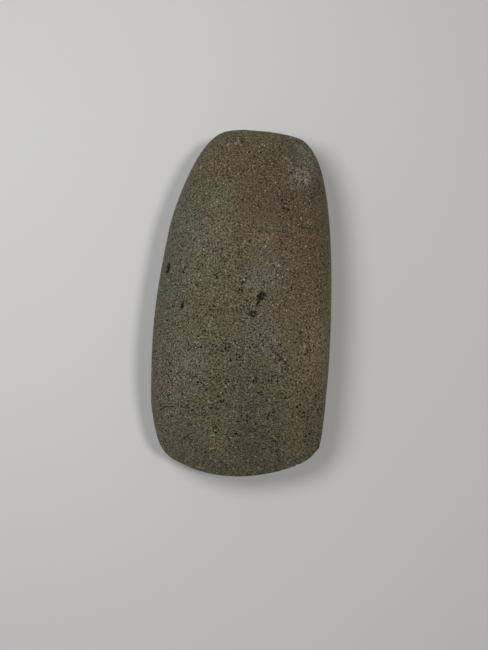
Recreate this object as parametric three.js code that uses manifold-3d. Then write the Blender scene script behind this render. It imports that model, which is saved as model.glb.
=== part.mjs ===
// A polished stone axe head, one solid of ground stone, lying on the flat of its underside.
// Millimetres, +Z up, +Y towards the butt and -Y towards the cutting edge.
// The origin is at the bottom, under the middle of the stone.
import * as THREE from 'three';
import { mergeVertices } from 'three/addons/utils/BufferGeometryUtils.js';
import Module from 'manifold-3d';

// Overall size of the finished stone
const LENGTH = 105;
const WIDTH = 54;
const THICKNESS = 27;

// How much is ground off the underside's swell and off the end of the butt
const REST_FLAT_DEPTH = 0.5;
const BUTT_FLAT_DEPTH = 0.3;

// Half thickness of the blunted rim, cutting edge included, before it rounds over
const RIM_LAND = 0.35;

// The outline seen from above, clockwise from the butt, as shares of half the width and half the length
const OUTLINE = [
    [-0.2, 0.995],
    [0.4, 0.98],
    [0.545, 0.95],
    [0.71, 0.835],
    [0.83, 0.635],
    [0.925, 0.325],
    [0.985, -0.08],
    [1, -0.41],
    [0.965, -0.795],
    [0.905, -0.84],
    [0.79, -0.89],
    [0.415, -0.967],
    [-0.03, -1],
    [-0.465, -0.965],
    [-0.79, -0.87],
    [-0.935, -0.665],
    [-0.975, -0.485],
    [-0.995, -0.115],
    [-0.935, 0.28],
    [-0.863, 0.508],
    [-0.657, 0.81],
    [-0.46, 0.95],
];

// The thickest place lies a little below the middle, as a share of half the length
const SWELL_PLACE = -0.08;

// How the rounded body thins out from the thickest place to its outline.
// FALL is the power of the distance, so a larger one keeps the stone thick for longer.
// ROUND is the power of the height, where a half is an ellipse and 1 a straight slope
const FALL = 2.4;
const ROUND = 0.45;
const LAND_ROUND = 1 / 3;

// The two bevels ground on the body to make the cutting edge: how far up the stone they curve, how high
// they would rise there as a share of the half thickness, and how crisply they meet the body
const BEVEL_REACH = 62;
const BEVEL_RISE = 1.35;
const BEVEL_CURVE = 2;
const BEVEL_CRISPNESS = 6;

// Natural hollows in the upper face. across and along place them, as shares of half the width and length.
// long, wide and deep are their sizes, and turn is the lean of the long way from +X, in degrees
const HOLLOWS = [
    { across: 0.18, along: 0.044, long: 3, wide: 2.3, deep: 0.8, turn: 50 },
    { across: 0.147, along: 0.008, long: 2.4, wide: 0.8, deep: 0.5, turn: 68 },
    { across: 0.1, along: -0.058, long: 2.3, wide: 2.1, deep: 0.6, turn: 0 },
    { across: -0.88, along: 0.16, long: 3.2, wide: 2, deep: 0.8, turn: 75 },
    { across: -0.678, along: -0.038, long: 3.3, wide: 0.9, deep: 0.5, turn: 85 },
    { across: 0.022, along: -0.743, long: 1.1, wide: 0.9, deep: 0.5, turn: 0 },
];

// A shallow flake scar on the butt's shoulder, and the broken corner at the other end
const FLAKE_SCARS = [
    { across: 0.5, along: 0.86, long: 13, wide: 9, deep: 1.3, turn: -42 },
    { across: 0.94, along: -0.812, long: 3.8, wide: 1.8, deep: 0.4, turn: 78 },
];

// A small nick in the cutting edge, as a share of half the width
const NICK = { across: 0.737, radius: 1.1, deep: 0.2 };

const SEGMENTS_ACROSS = 18;
const SEGMENTS_ALONG = 34;
const SEGMENTS_THICK = 12;
const OUTLINE_STEPS = 720;
const MIDDLE_STEPS = 200;
const HOLLOW_SIDES = 14;
const HOLLOW_RINGS = 10;

const halfWidth = WIDTH / 2;
const halfLength = (LENGTH + BUTT_FLAT_DEPTH) / 2;
const halfThickness = (THICKNESS + REST_FLAT_DEPTH) / 2;
const swell = new THREE.Vector2(0, SWELL_PLACE * halfLength);

// The outline as a closed curve through its points, stretched to fill the width and length exactly
function outlinePoints() {
    const corners = OUTLINE.map(([across, along]) => new THREE.Vector3(across, along, 0));
    const curve = new THREE.CatmullRomCurve3(corners, true, 'centripetal');
    const points = curve.getPoints(OUTLINE_STEPS);
    const box = new THREE.Box3().setFromPoints(points);
    const middle = box.getCenter(new THREE.Vector3());
    const size = box.getSize(new THREE.Vector3());
    return points.map((point) => new THREE.Vector2(
        (point.x - middle.x) * 2 * halfWidth / size.x,
        (point.y - middle.y) * 2 * halfLength / size.y,
    ));
}

const outline = outlinePoints();

// The same outline as a distance from the thickest place for each bearing, in order
const rim = outline
    .map((point) => point.clone().sub(swell))
    .map((arm) => ({ bearing: Math.atan2(arm.y, arm.x), reach: arm.length() }))
    .sort((a, b) => a.bearing - b.bearing);

function reachAt(bearing) {
    const next = rim.findIndex((arm) => arm.bearing >= bearing);
    const after = rim[Math.max(next, 0)];
    const before = next > 0 ? rim[next - 1] : rim[rim.length - 1];
    const turn = 2 * Math.PI;
    const gap = (after.bearing - before.bearing + turn) % turn;
    const part = gap === 0 ? 0 : ((bearing - before.bearing + turn) % turn) / gap;
    return THREE.MathUtils.lerp(before.reach, after.reach, part);
}

// The lower side of the outline, from left to right, which holds the cutting edge
const leftmost = outline.reduce((best, point) => (point.x < best.x ? point : best));
const rightmost = outline.reduce((best, point) => (point.x > best.x ? point : best));
const lowerSide = outline
    .filter((point) => point.y <= (point.x < swell.x ? leftmost.y : rightmost.y))
    .sort((a, b) => a.x - b.x);

function lowerSideAt(x) {
    const next = lowerSide.findIndex((point) => point.x >= x);
    if (next < 0) {
        return lowerSide[lowerSide.length - 1].y;
    }
    if (next === 0) {
        return lowerSide[0].y;
    }
    const [before, after] = [lowerSide[next - 1], lowerSide[next]];
    const part = after.x === before.x ? 0 : (x - before.x) / (after.x - before.x);
    return THREE.MathUtils.lerp(before.y, after.y, part);
}

// The smaller of the body's height and the bevel's, with the corner between them rounded
function softLeast(a, b) {
    if (a <= 0 || b <= 0) {
        return 0;
    }
    return (a ** -BEVEL_CRISPNESS + b ** -BEVEL_CRISPNESS) ** (-1 / BEVEL_CRISPNESS);
}

function bevelHeight(x, y) {
    const wayUp = THREE.MathUtils.clamp((y - lowerSideAt(x)) / BEVEL_REACH, 0, 1);
    return BEVEL_RISE * (1 - (1 - wayUp) ** BEVEL_CURVE);
}

// Share of the half thickness at a place, before it is scaled so that the tallest place has all of it
function roughShare(x, y, depth) {
    return softLeast(depth ** ROUND, bevelHeight(x, y));
}

const upTheMiddle = Array.from({ length: MIDDLE_STEPS }, (_, step) => step / MIDDLE_STEPS);
const tallest = Math.max(...upTheMiddle.map(
    (share) => roughShare(swell.x, swell.y + share * reachAt(Math.PI / 2), 1 - share ** FALL),
));

// Height of the upper face above the middle plane. depth is 1 at the thickest place and 0 at the outline
function heightFor(x, y, depth) {
    const share = roughShare(x, y, depth) / tallest;
    return (halfThickness - RIM_LAND) * share + RIM_LAND * depth ** LAND_ROUND;
}

function upperFace(x, y) {
    const arm = new THREE.Vector2(x, y).sub(swell);
    const share = Math.min(arm.length() / reachAt(Math.atan2(arm.y, arm.x)), 1);
    return heightFor(x, y, 1 - share ** FALL);
}

// The ground stone before its flats and hollows: a box of small faces, each corner moved out to the form
function groundStone() {
    const geometry = new THREE.BoxGeometry(2, 2, 2, SEGMENTS_ACROSS, SEGMENTS_ALONG, SEGMENTS_THICK);
    const corners = geometry.attributes.position;
    const corner = new THREE.Vector3();
    for (let i = 0; i < corners.count; i += 1) {
        corner.fromBufferAttribute(corners, i).normalize();
        const bearing = Math.atan2(corner.y * halfLength, corner.x * halfWidth);
        const depth = corner.z ** 2;
        const distance = reachAt(bearing) * Math.max(1 - depth, 0) ** (1 / FALL);
        const x = swell.x + Math.cos(bearing) * distance;
        const y = swell.y + Math.sin(bearing) * distance;
        corners.setXYZ(i, x, y, Math.sign(corner.z) * heightFor(x, y, depth));
    }
    return geometry;
}

// A flattened ball that hollows the upper face where it lies, square to the face
function hollowCutter({ across, along, long, wide, deep, turn }) {
    const x = across * halfWidth;
    const y = along * halfLength;
    const step = 0.25;
    const normal = new THREE.Vector3(
        upperFace(x - step, y) - upperFace(x + step, y),
        upperFace(x, y - step) - upperFace(x, y + step),
        2 * step,
    ).normalize();
    const geometry = new THREE.SphereGeometry(1, HOLLOW_SIDES, HOLLOW_RINGS);
    geometry.scale(long / 2, wide / 2, deep);
    geometry.rotateZ(THREE.MathUtils.degToRad(turn));
    geometry.applyQuaternion(new THREE.Quaternion().setFromUnitVectors(new THREE.Vector3(0, 0, 1), normal));
    geometry.translate(x, y, upperFace(x, y));
    return geometry;
}

// A ball standing outside the cutting edge, which bites into it by the nick's depth
function nickCutter() {
    const x = NICK.across * halfWidth;
    const onEdge = new THREE.Vector2(x, lowerSideAt(x));
    const away = onEdge.clone().sub(swell).normalize().multiplyScalar(NICK.radius - NICK.deep);
    const geometry = new THREE.SphereGeometry(NICK.radius, HOLLOW_SIDES, HOLLOW_RINGS);
    geometry.translate(onEdge.x + away.x, onEdge.y + away.y, 0);
    return geometry;
}

// A block that takes away everything past one side of the stone, from its inner face outwards
function flatCutter(innerFace, direction) {
    const size = 2 * Math.max(LENGTH, WIDTH, THICKNESS);
    const geometry = new THREE.BoxGeometry(size, size, size);
    geometry.translate(...direction.clone().multiplyScalar(innerFace + size / 2).toArray());
    return geometry;
}

const wasm = await Module();
wasm.setup();

function toSolid(geometry) {
    const bare = geometry.clone();
    bare.deleteAttribute('normal');
    bare.deleteAttribute('uv');
    const merged = mergeVertices(bare, 1e-5);
    return new wasm.Manifold(new wasm.Mesh({
        numProp: 3,
        vertProperties: new Float32Array(merged.attributes.position.array),
        triVerts: new Uint32Array(merged.index.array),
    }));
}

function toGeometry(solid) {
    const mesh = solid.getMesh();
    const geometry = new THREE.BufferGeometry();
    geometry.setAttribute('position', new THREE.BufferAttribute(mesh.vertProperties, 3));
    geometry.setIndex(new THREE.BufferAttribute(mesh.triVerts, 1));
    geometry.computeVertexNormals();
    return geometry;
}

function axeHead() {
    const cutters = [
        ...HOLLOWS.map(hollowCutter),
        ...FLAKE_SCARS.map(hollowCutter),
        nickCutter(),
        flatCutter(halfThickness - REST_FLAT_DEPTH, new THREE.Vector3(0, 0, -1)),
        flatCutter(halfLength - BUTT_FLAT_DEPTH, new THREE.Vector3(0, 1, 0)),
    ];
    const solid = cutters.reduce((stone, cutter) => stone.subtract(toSolid(cutter)), toSolid(groundStone()));
    const geometry = toGeometry(solid);
    geometry.computeBoundingBox();
    const middle = geometry.boundingBox.getCenter(new THREE.Vector3());
    geometry.translate(-middle.x, -middle.y, -geometry.boundingBox.min.z);

    const stone = new THREE.MeshStandardMaterial({ color: 0x534d3d, roughness: 0.55, metalness: 0 });
    const mesh = new THREE.Mesh(geometry, stone);
    mesh.name = 'axe_head';
    return mesh;
}

const group = new THREE.Group();
group.add(axeHead());

export default group;
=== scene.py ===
import math

import bmesh
import bpy
import numpy as np
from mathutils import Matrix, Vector, noise


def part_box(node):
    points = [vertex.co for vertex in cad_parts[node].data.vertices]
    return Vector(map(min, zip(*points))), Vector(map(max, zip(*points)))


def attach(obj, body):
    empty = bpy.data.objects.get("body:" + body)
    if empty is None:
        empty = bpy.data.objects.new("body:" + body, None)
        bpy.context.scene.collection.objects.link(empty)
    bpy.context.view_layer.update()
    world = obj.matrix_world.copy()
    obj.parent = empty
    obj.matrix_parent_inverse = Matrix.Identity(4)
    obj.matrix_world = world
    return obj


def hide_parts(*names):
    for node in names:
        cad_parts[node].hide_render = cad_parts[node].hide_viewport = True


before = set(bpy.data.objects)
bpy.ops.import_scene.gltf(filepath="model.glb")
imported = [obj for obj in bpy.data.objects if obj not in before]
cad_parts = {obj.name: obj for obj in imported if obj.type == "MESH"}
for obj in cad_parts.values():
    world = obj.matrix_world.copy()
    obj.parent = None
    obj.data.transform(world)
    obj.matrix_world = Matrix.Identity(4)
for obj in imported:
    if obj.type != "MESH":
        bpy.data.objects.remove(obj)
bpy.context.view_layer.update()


# The axe head
# One cobble of fine-grained green-brown stone, pecked to a blank and ground smooth on a wet slab.
# It starts as a box of small faces. Each corner moves out to a rounded body that two bevels cut to the
# curved edge, the hollows and scars are sunk into it, and the skin is stained and polished last.

MM = 0.001
UP = Vector((0, 0, 1))

low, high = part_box("axe_head")
WIDTH = (high.x - low.x) / MM
LENGTH = (high.y - low.y) / MM
THICKNESS = (high.z - low.z) / MM

# How much is ground off the belly and off the end of the butt, and half the thickness of the blunt rim
REST_FLAT_DEPTH = 0.5
BUTT_FLAT_DEPTH = 0.3
RIM_LAND = 0.35

# The outline seen from above, clockwise from the butt, as shares of half the width and half the length
OUTLINE = [
    (-0.2, 0.995),
    (0.4, 0.98),
    (0.545, 0.95),
    (0.71, 0.835),
    (0.83, 0.635),
    (0.925, 0.325),
    (0.985, -0.08),
    (1, -0.41),
    (0.965, -0.795),
    (0.905, -0.84),
    (0.79, -0.89),
    (0.415, -0.967),
    (-0.03, -1),
    (-0.465, -0.965),
    (-0.79, -0.87),
    (-0.935, -0.665),
    (-0.975, -0.485),
    (-0.995, -0.115),
    (-0.935, 0.28),
    (-0.863, 0.508),
    (-0.657, 0.81),
    (-0.46, 0.95),
]
OUTLINE_STEPS = 33

# The thickest place, as a share of half the length, and how the body thins out from it to the rim:
# a larger FALL keeps it thick for longer, and a ROUND of a half is an ellipse
SWELL_PLACE = -0.08
FALL = 2.4
ROUND = 0.45
LAND_ROUND = 1 / 3

# The two bevels of the cutting edge: how far up the stone they curve, how high they would rise there
# as a share of the half thickness, and how crisply they meet the body
BEVEL_REACH = 62
BEVEL_RISE = 1.35
BEVEL_CURVE = 2
BEVEL_CRISPNESS = 6

# Faces across, along and through the stone, the steps in which the tallest place is looked for, and
# the least share of the height, which stands for none
CELLS = (120, 200, 46)
MIDDLE_STEPS = 200
SMALLEST_SHARE = 1e-6

half_width = WIDTH / 2
half_length = (LENGTH + BUTT_FLAT_DEPTH) / 2
half_thickness = (THICKNESS + REST_FLAT_DEPTH) / 2
swell = np.array((0, SWELL_PLACE * half_length))


def curve_through(corners, steps):
    """A closed smooth curve through the corners, its speed set by the root of the distance between them."""
    t = np.linspace(0, 1, steps, endpoint=False)[:, None]
    stretches = []
    for i in range(len(corners)):
        before, start, end, after = (corners[(i + k) % len(corners)] for k in (-1, 0, 1, 2))
        pairs = ((before, start), (start, end), (end, after))
        last, this, coming = (math.sqrt(np.linalg.norm(b - a)) for a, b in pairs)
        leave = ((start - before) / last - (end - before) / (last + this) + (end - start) / this) * this
        arrive = ((end - start) / this - (after - start) / (this + coming) + (after - end) / coming) * this
        stretches.append(
            (2 * t**3 - 3 * t**2 + 1) * start + (t**3 - 2 * t**2 + t) * leave
            + (3 * t**2 - 2 * t**3) * end + (t**3 - t**2) * arrive
        )
    return np.vstack(stretches)


outline = curve_through(np.array(OUTLINE, float), OUTLINE_STEPS)
outline -= (outline.max(0) + outline.min(0)) / 2
outline *= np.array((half_width, half_length)) / outline.max(0)

# The same outline as a distance from the thickest place for each bearing, in order
arms = outline - swell
bearings = np.arctan2(arms[:, 1], arms[:, 0])
order = bearings.argsort()
bearings = bearings[order]
reaches = np.hypot(arms[:, 0], arms[:, 1])[order]

# The lower side of the outline, from left to right, which holds the cutting edge
leftmost = outline[outline[:, 0].argmin()]
rightmost = outline[outline[:, 0].argmax()]
side_top = np.where(outline[:, 0] < swell[0], leftmost[1], rightmost[1])
lower_side = outline[outline[:, 1] <= side_top]
lower_side = lower_side[lower_side[:, 0].argsort()]


def reach_at(bearing):
    return np.interp(bearing, bearings, reaches, period=2 * math.pi)


def lower_side_at(x):
    return np.interp(x, lower_side[:, 0], lower_side[:, 1])


def soft_least(a, b):
    """The smaller of two heights, with the corner between them rounded."""
    a, b = np.maximum(a, SMALLEST_SHARE), np.maximum(b, SMALLEST_SHARE)
    return (a**-BEVEL_CRISPNESS + b**-BEVEL_CRISPNESS) ** (-1 / BEVEL_CRISPNESS)


def rough_share(x, y, depth):
    """Share of the half thickness at a place, before it is scaled so that the tallest place has it all."""
    way_up = np.clip((y - lower_side_at(x)) / BEVEL_REACH, 0, 1)
    return soft_least(depth**ROUND, BEVEL_RISE * (1 - (1 - way_up) ** BEVEL_CURVE))


up_the_middle = np.linspace(0, 1, MIDDLE_STEPS, endpoint=False)
tallest = rough_share(
    swell[0], swell[1] + up_the_middle * reach_at(math.pi / 2), 1 - up_the_middle**FALL
).max()


def height_for(x, y, depth):
    """Height over the middle plane, where depth is 1 at the thickest place and 0 at the outline."""
    share = rough_share(x, y, depth) / tallest
    return (half_thickness - RIM_LAND) * share + RIM_LAND * depth**LAND_ROUND


def upper_face(x, y):
    share = np.hypot(x - swell[0], y - swell[1]) / reach_at(np.arctan2(y - swell[1], x - swell[0]))
    return height_for(x, y, 1 - np.minimum(share, 1) ** FALL)


def ground_form(directions):
    """The ground stone's surface in each direction from its middle, in millimetres."""
    x, y, z = directions.T / np.linalg.norm(directions, axis=1)
    bearing = np.arctan2(y * half_length, x * half_width)
    depth = np.minimum(z**2, 1)
    distance = reach_at(bearing) * (1 - depth) ** (1 / FALL)
    x = swell[0] + np.cos(bearing) * distance
    y = swell[1] + np.sin(bearing) * distance
    z = np.sign(z) * height_for(x, y, depth)
    return np.column_stack((x, y, z))


def places(bm):
    return np.array([vert.co for vert in bm.verts])


def move_to(bm, points):
    for vert, point in zip(bm.verts, points):
        vert.co = point


bm = bmesh.new()
bmesh.ops.create_cube(bm, size=2)
for axis, cells in enumerate(CELLS):
    across = [edge for edge in bm.edges if abs((edge.verts[0].co - edge.verts[1].co)[axis]) > 1]
    bmesh.ops.subdivide_edges(bm, edges=across, cuts=cells - 1, use_grid_fill=True)
move_to(bm, ground_form(places(bm)))

# The stone's own cavities, opened as it was ground, placed as shares of half the width and length.
# Their sizes are in millimetres, and turn is the lean of the long way from +X, in degrees
HOLLOWS = [
    dict(across=0.18, along=0.044, long=3, wide=2.3, deep=0.8, turn=50),
    dict(across=0.147, along=0.008, long=2.4, wide=0.8, deep=0.5, turn=68),
    dict(across=0.1, along=-0.058, long=2.3, wide=2.1, deep=0.6, turn=0),
    dict(across=-0.88, along=0.16, long=3.2, wide=2, deep=0.8, turn=75),
    dict(across=-0.678, along=-0.038, long=3.3, wide=0.9, deep=0.5, turn=85),
    dict(across=0.022, along=-0.743, long=1.1, wide=0.9, deep=0.5, turn=0),
]
PITS = [
    (0.48, -0.83), (0.14, -0.89), (-0.3, -0.865), (0.34, -0.82), (-0.27, -0.605), (-0.13, -0.255),
    (0.165, -0.24), (0.41, -0.6), (0.745, -0.59), (0.735, -0.615), (0.485, -0.49), (0.19, -0.415),
    (-0.7, 0.145), (-0.68, 0.17), (-0.29, 0.29), (-0.32, 0.13), (-0.19, 0.14), (0.32, 0.59),
    (0.355, 0.575), (0.345, 0.545), (0.395, 0.54),
]
PIT = dict(long=0.85, wide=0.68, deep=0.3, turn=40)
CAVITIES = HOLLOWS + [dict(PIT, across=across, along=along) for across, along in PITS]

# What use has knocked off: a flake from the butt's shoulder, a corner of the edge, and a nick beside it
FLAKE_SCARS = [
    dict(across=0.5, along=0.86, long=13, wide=9, deep=1.3, turn=-42),
    dict(across=0.94, along=-0.812, long=3.8, wide=1.8, deep=0.4, turn=78),
]
NICK = dict(across=0.737, radius=1.1, deep=0.2)

# The patch of pale pecking in the flake scar on the butt's shoulder
PECKED = dict(across=0.515, along=0.74, long=8, wide=7.5, deep=0.22, turn=0)
PECK_SIZE, PECK_COVER, PECK_CONTRAST = 0.85, 0.4, 1.8

# Fine cracks, faint pale scratches and short pale flecks, as lines on the upper face
CRACKS = [
    [(-0.844, -0.646), (-0.785, -0.621), (-0.681, -0.615)],
    [(-0.548, -0.792), (-0.481, -0.764)],
    [(0.407, -0.274), (0.53, -0.331)],
]
CRACK_WIDE, CRACK_DEEP = 0.5, 0.15
SCRATCHES = [
    [(0.691, -0.217), (0.62, -0.277), (0.544, -0.341)],
    [(0.24, 0.855), (0.42, 0.805)],
    [(0.3, 0.9), (0.5, 0.82), (0.6, 0.76)],
    [(0.085, -0.055), (0.115, -0.061)],
]
FLECKS = [
    [(0.688, -0.215), (0.694, -0.219)],
    [(-0.245, -0.764), (-0.22, -0.76)],
    [(-0.25, -0.843), (-0.23, -0.839)],
    [(-0.61, 0.745), (-0.6, 0.753)],
    [(-0.24, 0.895), (-0.235, 0.902)],
    [(-0.33, 0.885), (-0.315, 0.89)],
]

# How uneven the brims are, and the very shallow dimples that hand grinding left all over
BRIM_LUMPS, BRIM_RAGGED, SCAR_RAGGED = 0.7, 0.28, 0.07
DIMPLE_SIZE, DIMPLE_DEPTH = 7, 0.16

# How far round each mark the faces are made finer, and into how many more
FINE_MARGIN, FINE_CUTS = 1.2, 2
# The step over which the upper face's slope is measured, and a distance that is out of any mark's reach
SLOPE_STEP = 0.25
FAR = 9


def mark_frame(mark):
    """The middle of a mark on the upper face, and its long, wide and outward directions."""
    x, y = mark["across"] * half_width, mark["along"] * half_length
    outward = Vector((
        upper_face(x - SLOPE_STEP, y) - upper_face(x + SLOPE_STEP, y),
        upper_face(x, y - SLOPE_STEP) - upper_face(x, y + SLOPE_STEP),
        2 * SLOPE_STEP,
    )).normalized()
    tilt = UP.rotation_difference(outward)
    turn = math.radians(mark["turn"])
    long_way = tilt @ Vector((math.cos(turn), math.sin(turn), 0))
    wide_way = tilt @ Vector((-math.sin(turn), math.cos(turn), 0))
    middle = np.array((x, y, float(upper_face(x, y))))
    return middle, np.array(long_way), np.array(wide_way), np.array(outward)


def ragged(points, size, seed):
    """Smooth noise from -1 to 1 at each point, with lumps of that size in millimetres."""
    return np.array([noise.noise(Vector(point / size) + Vector((seed, 0, 0))) for point in points])


def mark_distance(points, mark):
    """How far out of a mark each point lies: 0 at its middle and 1 at its brim."""
    middle, long_way, wide_way, outward = mark_frame(mark)
    off = points - middle
    flat = np.hypot(off @ long_way / (mark["long"] / 2), off @ wide_way / (mark["wide"] / 2))
    return np.where(off @ outward > -mark["wide"] - mark["deep"], flat, FAR)


def sink(points, mark, uneven):
    """Points inside the mark's flattened ball go straight in to its floor, less where it is uneven."""
    middle, long_way, wide_way, outward = mark_frame(mark)
    flat = mark_distance(points, mark) + uneven
    floor = -mark["deep"] * np.sqrt(np.clip(1 - flat**2, 0, 1))
    above = (points - middle) @ outward
    sunk = np.where(flat < 1, np.maximum(above - floor, 0), 0)
    return points - sunk[:, None] * outward


def line_distance(points, path):
    """How far each point of the upper face lies from a line drawn on it, in millimetres."""
    best = np.full(len(points), float(FAR))
    corners = np.array(path) * (half_width, half_length)
    for start, end in zip(corners, corners[1:]):
        way = end - start
        share = np.clip((points[:, :2] - start) @ way / (way @ way), 0, 1)
        best = np.minimum(best, np.hypot(*(points[:, :2] - start - share[:, None] * way).T))
    return np.where(points[:, 2] > 0, best, FAR)


centres = np.array([face.calc_center_median() for face in bm.faces])
wanted = np.zeros(len(centres), bool)
for mark in CAVITIES + [PECKED]:
    wanted |= mark_distance(centres, mark) < 1 + FINE_MARGIN / mark["wide"]
for path in CRACKS + SCRATCHES + FLECKS:
    wanted |= line_distance(centres, path) < FINE_MARGIN / 2
edges = {edge for face, keep in zip(bm.faces[:], wanted) if keep for edge in face.edges}
bmesh.ops.subdivide_edges(bm, edges=list(edges), cuts=FINE_CUTS, use_grid_fill=True)

bm.normal_update()
outwards = np.array([vert.normal for vert in bm.verts])
whole = places(bm)
brim_lumps = ragged(whole, BRIM_LUMPS, seed=31)
dimples = DIMPLE_DEPTH * (0.5 + 0.5 * ragged(whole, DIMPLE_SIZE, seed=51))
points = whole - outwards * (dimples * np.abs(whole[:, 2]) / half_thickness)[:, None]
for mark in CAVITIES:
    points = sink(points, mark, BRIM_RAGGED * brim_lumps)
for mark in FLAKE_SCARS:
    points = sink(points, mark, SCAR_RAGGED * brim_lumps)
peck_marks = np.clip(PECK_COVER + PECK_CONTRAST * ragged(whole, PECK_SIZE, seed=3), 0, 1)
pecked = np.exp(-mark_distance(whole, PECKED) ** 2) * peck_marks
points -= outwards * (PECKED["deep"] * pecked)[:, None]
crack_share = np.zeros(len(points))
for path in CRACKS:
    crack_share = np.maximum(crack_share, 1 - line_distance(whole, path) / (CRACK_WIDE / 2))
points -= outwards * (crack_share * CRACK_DEEP)[:, None]

# The nick is the bite of a ball that stands outside the edge
nick_x = NICK["across"] * half_width
nick_edge = np.array((nick_x, float(lower_side_at(nick_x)), 0))
nick_out = nick_edge - np.append(swell, 0)
nick_middle = nick_edge + nick_out / np.linalg.norm(nick_out) * (NICK["radius"] - NICK["deep"])
off = points - nick_middle
distance = np.linalg.norm(off, axis=1)
inside = distance < NICK["radius"]
points[inside] = nick_middle + off[inside] / distance[inside, None] * NICK["radius"]

# The two flats come last, and then the stone is set down on the one under its belly
points[:, 2] = np.maximum(points[:, 2], REST_FLAT_DEPTH - half_thickness)
points[:, 1] = np.minimum(points[:, 1], half_length - BUTT_FLAT_DEPTH)
points -= (points.max(0) + points.min(0)) / 2
points[:, 2] -= points[:, 2].min()
move_to(bm, points * MM)
bmesh.ops.recalc_face_normals(bm, faces=bm.faces)

mesh = bpy.data.meshes.new("axe_head_stone")
bm.to_mesh(mesh)
bm.free()
mesh.shade_smooth()
axe_head = bpy.data.objects.new("axe_head_stone", mesh)
bpy.context.scene.collection.objects.link(axe_head)


def linear(hex_colour):
    """An sRGB hex colour as the linear colour that a shader takes."""
    parts = (int(hex_colour[i:i + 2], 16) / 255 for i in (1, 3, 5))
    return tuple(p / 12.92 if p <= 0.04045 else ((p + 0.055) / 1.055) ** 2.4 for p in parts) + (1,)


# The thin weathered skin of the stone, and what has stained it in the ground
SKIN = "#605943"
STAINS = {
    "umber": "#60523a",
    "peat": "#4c402e",
    "moss": "#5b5c3f",
    "grey green": "#595e4f",
    "ochre": "#655736",
    "tan": "#76694d",
    "ash": "#68645b",
    "slate": "#504f48",
    "dark": "#35342a",
    "crust": "#a29e92",
}

# Stains on the upper face, and one pale patch of painted light on the flake scar: which, its place as shares
# of half the width and length, how wide and long it is in millimetres, and its strength
BLOTS = [
    ("umber", 0.12, 0.62, 17, 38, 0.75),
    ("umber", 0.72, 0.45, 15, 34, 0.8),
    ("peat", 0.36, 0.55, 20, 36, 0.55),
    ("peat", 0.12, 0.66, 16, 22, 0.35),
    ("peat", -0.25, 0.66, 30, 34, 0.3),
    ("umber", 0.66, -0.6, 14, 30, 0.25),
    ("umber", -0.34, 0.8, 9, 10, 0.4),
    ("moss", -0.34, 0.57, 8, 8, 0.75),
    ("moss", -0.3, -0.13, 8, 9, 0.5),
    ("moss", -0.32, 0.16, 8, 7, 0.45),
    ("moss", 0, 1.0, 26, 6, 0.6),
    ("grey green", -0.84, 0.12, 11, 30, 0.75),
    ("grey green", -0.74, 0.5, 10, 20, 0.6),
    ("grey green", 0.54, 0.87, 8, 7, 0.6),
    ("moss", 0.05, -0.62, 26, 34, 0.35),
    ("grey green", 0.05, -0.6, 24, 30, 0.25),
    ("dark", 0.35, 0.87, 8, 7, 0.15),
    ("dark", 0.7, 0.68, 6, 8, 0.4),
    ("dark", 0.22, -0.78, 13, 11, 0.35),
    ("dark", 0.1, -0.98, 46, 9, 0.28),
    ("dark", 0, -0.43, 20, 24, 0.2),
    ("dark", 0.2, -0.5, 10, 28, 0.2),
    ("slate", 0, -0.98, 50, 12, 0.5),
    ("peat", -0.18, 0, 12, 28, 0.2),
    ("peat", 0.5, 0.02, 10, 14, 0.3),
    ("ochre", 0.63, 0, 11, 18, 0.45),
    ("ochre", 0.86, -0.35, 8, 22, 0.2),
    ("tan", 0.84, -0.22, 9, 22, 0.7),
    ("tan", -0.15, -0.8, 10, 12, 0.3),
    ("slate", -0.55, -0.76, 14, 14, 0.4),
    ("dark", -0.86, 0.12, 8, 22, 0.15),
    ("dark", 0.93, -0.81, 3, 6, 0.5),
    ("tan", 0.17, 0.37, 9, 9, 0.4),
    # Painted light: this pale patch lifts the shade on the flake scar, which faces away from the lamps
    ("ash", 0.52, 0.92, 8, 7, 0.5),
    ("ash", 0.25, -0.17, 9, 12, 0.55),
    ("ash", -0.6, -0.36, 13, 16, 0.5),
    ("ash", -0.75, -0.7, 12, 22, 0.5),
    ("ash", 0.18, 0.15, 9, 8, 0.6),
    ("ash", -0.45, 0.36, 10, 20, 0.35),
]
CRUST_STRENGTH = 0.55
# How far the edges of the stains wander, and how long their lobes are
BLOT_WANDER, BLOT_LOBES = 2.2, 5
# Clouds of browner and of greener skin all over: the two stains, their size and strength
CLOUDS = [("umber", "grey green", 11, 0.25), ("umber", "moss", 2.4, 0.35)]
CLOUD_CONTRAST = 2

wander = BLOT_WANDER * np.column_stack(
    (ragged(whole, BLOT_LOBES, seed=7), ragged(whole, BLOT_LOBES, seed=19))
)
# 1 on the upper face, a half at the rim, and 0 on the underside, which is plainer
facing_up = np.clip(whole[:, 2] / half_thickness + 0.5, 0, 1)


def blot_share(across, along, wide, long, strength):
    middle = np.array((across * half_width, along * half_length))
    off = (whole[:, :2] + wander - middle) / (wide / 2, long / 2)
    return strength * facing_up * np.exp(-(off**2).sum(1))


def blend(colours, stain, share):
    return colours + (np.array(linear(STAINS[stain])[:3]) - colours) * share[:, None]


skin = np.tile(linear(SKIN)[:3], (len(whole), 1))
for browner, greener, size, strength in CLOUDS:
    cloud = CLOUD_CONTRAST * ragged(whole, size, seed=0)
    skin = blend(skin, browner, strength * np.clip(cloud, 0, 1))
    skin = blend(skin, greener, strength * np.clip(-cloud, 0, 1))
for stain, *blot in BLOTS:
    skin = blend(skin, stain, blot_share(*blot))
skin = blend(skin, "crust", CRUST_STRENGTH * pecked)

# The cracks are painted dark, and the hollows and pits unevenly dark, a little past their brims
DARK_REACH, DARK_EDGE = 1.25, 0.5
PATCH_LUMPS, PATCH_MEAN, PATCH_LEAST = 0.6, 0.95, 0.55
CRACK_DARK, CRACK_DARK_SPREAD = 0.9, 1.5

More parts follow.
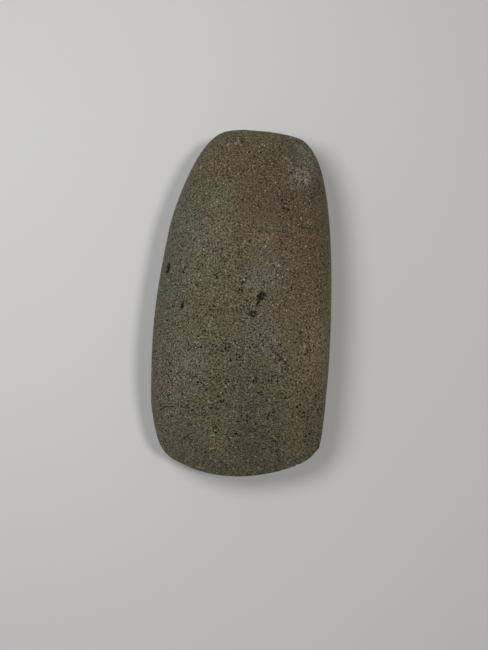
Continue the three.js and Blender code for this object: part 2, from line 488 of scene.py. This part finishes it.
hollow_dark = np.clip(crack_share * CRACK_DARK_SPREAD, 0, 1) * CRACK_DARK
patchy = np.clip(PATCH_MEAN + ragged(whole, PATCH_LUMPS, seed=5), PATCH_LEAST, 1)
for mark in CAVITIES:
    reached = DARK_REACH - mark_distance(whole, mark) - BRIM_RAGGED * brim_lumps
    hollow_dark = np.maximum(hollow_dark, np.clip(reached / DARK_EDGE, 0, 1) * patchy)

# Scratches are faint and broken, and flecks are whole and plain to see
SCRATCH_WIDE, SCRATCH_STRENGTH = 0.6, 0.3
BREAK_SIZE, BREAK_COVER, BREAK_CONTRAST = 0.8, 0.5, 1.5
FLECK_WIDE, FLECK_STRENGTH = 0.8, 0.9

broken = np.clip(BREAK_COVER + BREAK_CONTRAST * ragged(whole, BREAK_SIZE, seed=9), 0, 1)
scratch = np.zeros(len(whole))
for path in SCRATCHES:
    near = 1 - line_distance(whole, path) / (SCRATCH_WIDE / 2)
    scratch = np.maximum(scratch, near * broken * SCRATCH_STRENGTH)
for path in FLECKS:
    near = 1 - line_distance(whole, path) / (FLECK_WIDE / 2)
    scratch = np.maximum(scratch, near * FLECK_STRENGTH)

# The stone has fewer pinholes in drifts, towards the butt and on the cutting edge, which is polished
# most and has fine streaks along the stone
EDGE_POLISH = 9
BUTT_START = -0.4
DRIFT_SIZE, DRIFT_COVER = 5, 0.3
SPARSE_EDGE, SPARSE_BUTT, SPARSE_DRIFT = 0.15, 0.12, 0.3
STREAK_WIDE, STREAK_STRETCH, STREAK_STRENGTH = 0.9, 0.12, 0.3

edge_share = np.clip(1 - (whole[:, 1] - lower_side_at(whole[:, 0])) / EDGE_POLISH, 0, 1)
butt_share = np.clip(whole[:, 1] / half_length - BUTT_START, 0, 1)
drift_share = np.clip(ragged(whole, DRIFT_SIZE, seed=13) + DRIFT_COVER, 0, 1)
sparse = SPARSE_EDGE * edge_share + SPARSE_BUTT * butt_share + SPARSE_DRIFT * drift_share
streaks = ragged(whole * (1, STREAK_STRETCH, 1), STREAK_WIDE, seed=23)
skin *= (1 + STREAK_STRENGTH * edge_share * streaks)[:, None]


def keep_on_mesh(mesh, name, values):
    """A value or a colour for each corner point of the mesh, for the material to read."""
    if values.ndim == 1:
        mesh.attributes.new(name, "FLOAT", "POINT").data.foreach_set("value", values.astype(np.float32))
    else:
        colours = np.column_stack((values, np.ones(len(values)))).astype(np.float32)
        mesh.attributes.new(name, "FLOAT_COLOR", "POINT").data.foreach_set("color", colours.ravel())


keep_on_mesh(mesh, "skin", skin)
keep_on_mesh(mesh, "hollow_dark", hollow_dark)
keep_on_mesh(mesh, "scratch", scratch)
keep_on_mesh(mesh, "sparse", sparse)


def add(tree, kind, inputs=None, **settings):
    """A node with its settings, and each input set to a value or linked from a socket."""
    made = tree.nodes.new(kind)
    for name, value in settings.items():
        setattr(made, name, value)
    for name, value in (inputs or {}).items():
        if isinstance(value, bpy.types.NodeSocket):
            tree.links.new(value, made.inputs[name])
        else:
            made.inputs[name].default_value = value
    return made


def per_metre(size):
    """The scale that gives a pattern cells of that size in millimetres."""
    return 1 / (size * MM)


# Polished volcanic stone: a dull gloss over a fine salt-and-pepper grain, with dark pinholes and small
# pale crystals. The real grain is finer than a pixel, so it is drawn at about half a millimetre.
# Sizes, cells and radii are in millimetres
GRAIN, GRAIN_CONTRAST = 0.46, 1.18
MOTTLE, MOTTLE_CONTRAST = 1.8, 0.12
NOISE_DETAIL, NOISE_ROUGHNESS, NOISE_LOW, NOISE_HIGH = 2, 0.65, 0.3, 0.7
PINHOLES = [dict(cell=0.9, radius=0.48, share=0.7), dict(cell=0.55, radius=0.28, share=0.6)]
CRYSTALS = dict(cell=0.7, radius=0.26, share=0.4)
SPECK_SOFT = 0.12
WOBBLE_SIZE, WOBBLE_REACH = 0.5, 0.45
PINHOLE_DARK = "#14130c"
CRYSTAL_PALE = "#a8a08a"
POLISHED, UNPOLISHED = 0.6, 0.9
DULL_GLOSS = 0.25
BUMP_DEPTH, BUMP_STRENGTH = 0.1, 0.6

stone = bpy.data.materials.new("polished volcanic stone")
stone.use_nodes = True
tree = stone.node_tree
shader = tree.nodes["Principled BSDF"]
place = add(tree, "ShaderNodeTexCoord").outputs["Object"]

# The specks aren't round, because the place that they read wobbles
wobble = add(tree, "ShaderNodeTexNoise", {"Vector": place, "Scale": per_metre(WOBBLE_SIZE), "Detail": 1})
centred = add(tree, "ShaderNodeVectorMath", {
    0: wobble.outputs["Color"], 1: (0.5, 0.5, 0.5),
}, operation="SUBTRACT")
shifted = add(tree, "ShaderNodeVectorMath", {
    0: centred.outputs[0], 1: (WOBBLE_REACH * MM,) * 3,
}, operation="MULTIPLY")
wavy = add(tree, "ShaderNodeVectorMath", {0: place, 1: shifted.outputs[0]}).outputs[0]


def specks(tree, vector, thinned, cell, radius, share):
    """A mask of specks, one in each of that share of the cells, up to that radius in millimetres."""
    cells = add(tree, "ShaderNodeTexVoronoi", {"Vector": vector, "Scale": per_metre(cell)})
    chance = add(tree, "ShaderNodeSeparateColor", {"Color": cells.outputs["Color"]})
    reach = add(tree, "ShaderNodeMapRange", {
        "Value": chance.outputs[0], "From Min": 1 - share, "From Max": 1, "To Max": radius / cell,
    }, clamp=False)
    farther = add(tree, "ShaderNodeMath", {0: cells.outputs["Distance"], 1: thinned}).outputs[0]
    inside = add(tree, "ShaderNodeMath", {0: reach.outputs[0], 1: farther}, operation="SUBTRACT")
    return add(tree, "ShaderNodeMapRange", {
        "Value": inside.outputs[0], "From Min": 0, "From Max": SPECK_SOFT,
    }, interpolation_type="SMOOTHSTEP").outputs[0]


def contrast(tree, size, amount):
    """Noise with lumps of that size in millimetres, as a factor round 1."""
    lumps = add(tree, "ShaderNodeTexNoise", {
        "Vector": place, "Scale": per_metre(size), "Detail": NOISE_DETAIL, "Roughness": NOISE_ROUGHNESS,
    })
    return add(tree, "ShaderNodeMapRange", {
        "Value": lumps.outputs[0], "From Min": NOISE_LOW, "From Max": NOISE_HIGH,
        "To Min": 1 - amount, "To Max": 1 + amount,
    }, clamp=False).outputs[0]


# The skin's own colour, darkened and lightened by the grain and the mottle
grain = contrast(tree, GRAIN, GRAIN_CONTRAST)
mottle = contrast(tree, MOTTLE, MOTTLE_CONTRAST)
both = add(tree, "ShaderNodeMath", {0: grain, 1: mottle}, operation="MULTIPLY").outputs[0]
skin_colour = add(tree, "ShaderNodeAttribute", attribute_name="skin").outputs["Color"]
grained = add(tree, "ShaderNodeVectorMath", {0: skin_colour, "Scale": both}, operation="SCALE").outputs[0]

# Over it go the pale crystals, then the dark of pinholes and of the darkened cracks, hollows and pits, and
# the pale scratches last
sparse_mask = add(tree, "ShaderNodeAttribute", attribute_name="sparse").outputs["Fac"]
hollow_dark_mask = add(tree, "ShaderNodeAttribute", attribute_name="hollow_dark").outputs["Fac"]
scratch_mask = add(tree, "ShaderNodeAttribute", attribute_name="scratch").outputs["Fac"]
crystals = specks(tree, wavy, 0, **CRYSTALS)
large, small = (specks(tree, wavy, sparse_mask, **size) for size in PINHOLES)
pinholes = add(tree, "ShaderNodeMath", {0: large, 1: small}, operation="MAXIMUM").outputs[0]
dark = add(tree, "ShaderNodeMath", {0: pinholes, 1: hollow_dark_mask}, operation="MAXIMUM").outputs[0]
colour = grained
for mask, laid_over in ((crystals, CRYSTAL_PALE), (dark, PINHOLE_DARK), (scratch_mask, CRYSTAL_PALE)):
    layer = add(tree, "ShaderNodeMix", {0: mask, 6: colour, 7: linear(laid_over)}, data_type="RGBA")
    colour = layer.outputs[2]
tree.links.new(colour, shader.inputs["Base Color"])

rough = add(tree, "ShaderNodeMapRange", {"Value": dark, "To Min": POLISHED, "To Max": UNPOLISHED})
tree.links.new(rough.outputs[0], shader.inputs["Roughness"])
shader.inputs["Specular IOR Level"].default_value = DULL_GLOSS

height = add(tree, "ShaderNodeMath", {0: grain, 1: dark}, operation="SUBTRACT").outputs[0]
bump = add(tree, "ShaderNodeBump", {"Height": height, "Distance": BUMP_DEPTH * MM, "Strength": BUMP_STRENGTH})
tree.links.new(bump.outputs["Normal"], shader.inputs["Normal"])
axe_head.data.materials.append(stone)

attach(axe_head, "root")
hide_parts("axe_head")


# The floor
# A plain matt board that sweeps up round its far sides, so that low views show no edge behind the
# stone. It is flat for over half a metre round the stone and then rises in a smooth curve.

BOARD_SIZE, BOARD_CELLS = 4, 60
FLAT_RADIUS, SWEEP_RISE = 0.6, 0.7
BOARD_WHITE = "#dadadb"
BOARD_ROUGHNESS, BOARD_GLOSS = 0.9, 0.1

bm = bmesh.new()
bmesh.ops.create_grid(bm, x_segments=BOARD_CELLS, y_segments=BOARD_CELLS, size=BOARD_SIZE / 2)
for vert in bm.verts:
    vert.co.z = SWEEP_RISE * max(vert.co.xy.length - FLAT_RADIUS, 0) ** 2
floor_mesh = bpy.data.meshes.new("floor")
bm.to_mesh(floor_mesh)
bm.free()
floor_mesh.shade_smooth()
floor = bpy.data.objects.new("floor", floor_mesh)
bpy.context.scene.collection.objects.link(floor)

# Painted board with no shine, which takes soft shadows and is close to white
board = bpy.data.materials.new("matt white board")
board.use_nodes = True
paint = board.node_tree.nodes["Principled BSDF"]
paint.inputs["Base Color"].default_value = linear(BOARD_WHITE)
paint.inputs["Roughness"].default_value = BOARD_ROUGHNESS
paint.inputs["Specular IOR Level"].default_value = BOARD_GLOSS
floor.data.materials.append(board)


# The lights
# A near lamp on the left and daylight from a high window on the right give the stone a soft shadow on
# each side. The room adds a little light from all round.

ROOM_WHITE, ROOM_STRENGTH = "#f8f8f7", 0.1
LAMP_SIZE = 0.13
WINDOW_WIDTH = math.radians(11)

world = bpy.data.worlds.new("soft room light")
world.use_nodes = True
room = world.node_tree.nodes["Background"]
room.inputs["Color"].default_value = linear(ROOM_WHITE)
room.inputs["Strength"].default_value = ROOM_STRENGTH
bpy.context.scene.world = world


def shine(name, kind, colour, strength, distance, sideways, forwards):
    """A light that shines on the stone from so many degrees off overhead each way."""
    light = bpy.data.lights.new(name, kind)
    light.energy = strength
    light.color = linear(colour)[:3]
    made = bpy.data.objects.new(name, light)
    towards = Vector((math.tan(math.radians(sideways)), math.tan(math.radians(forwards)), 1)).normalized()
    made.location = towards * distance
    made.rotation_mode = "QUATERNION"
    made.rotation_quaternion = towards.to_track_quat("Z", "Y")
    bpy.context.scene.collection.objects.link(made)
    return light


lamp = shine("left lamp", "AREA", "#ffffff", strength=0.36, distance=0.3, sideways=-22, forwards=12)
lamp.shape = "DISK"
lamp.size = LAMP_SIZE
window = shine("window", "SUN", "#fffcf7", strength=0.98, distance=1, sideways=22, forwards=4)
window.angle = WINDOW_WIDTH


# The camera
# It looks straight down on the lying stone, turned so that the stone's long axis leans a little to the
# right. It is placed by where the stone's middle, its length and its lean fall in the photograph.

IMAGE_WIDTH, IMAGE_HEIGHT = 488, 650
STONE_MIDDLE_PX = (244.5, 304)
STONE_LENGTH_PX = 346
STONE_LEAN = math.radians(4.6)
CAMERA_HEIGHT = 0.4
SENSOR = 36
NEAREST = 0.01

rim_height = THICKNESS / 2 * MM
metres_per_px = LENGTH * MM / STONE_LENGTH_PX
right = Vector((math.cos(STONE_LEAN), math.sin(STONE_LEAN), 0))
up = Vector((-math.sin(STONE_LEAN), math.cos(STONE_LEAN), 0))
aim = (
    right * (IMAGE_WIDTH / 2 - STONE_MIDDLE_PX[0]) + up * (STONE_MIDDLE_PX[1] - IMAGE_HEIGHT / 2)
) * metres_per_px

lens = bpy.data.cameras.new("camera")
lens.sensor_width = SENSOR
lens.lens = SENSOR * (CAMERA_HEIGHT - rim_height) / (IMAGE_HEIGHT * metres_per_px)
lens.clip_start = NEAREST
camera = bpy.data.objects.new("camera", lens)
camera.location = (aim.x, aim.y, CAMERA_HEIGHT)
camera.rotation_euler = (0, 0, STONE_LEAN)
bpy.context.scene.collection.objects.link(camera)
bpy.context.scene.camera = camera
bpy.context.scene.view_settings.view_transform = "Standard"
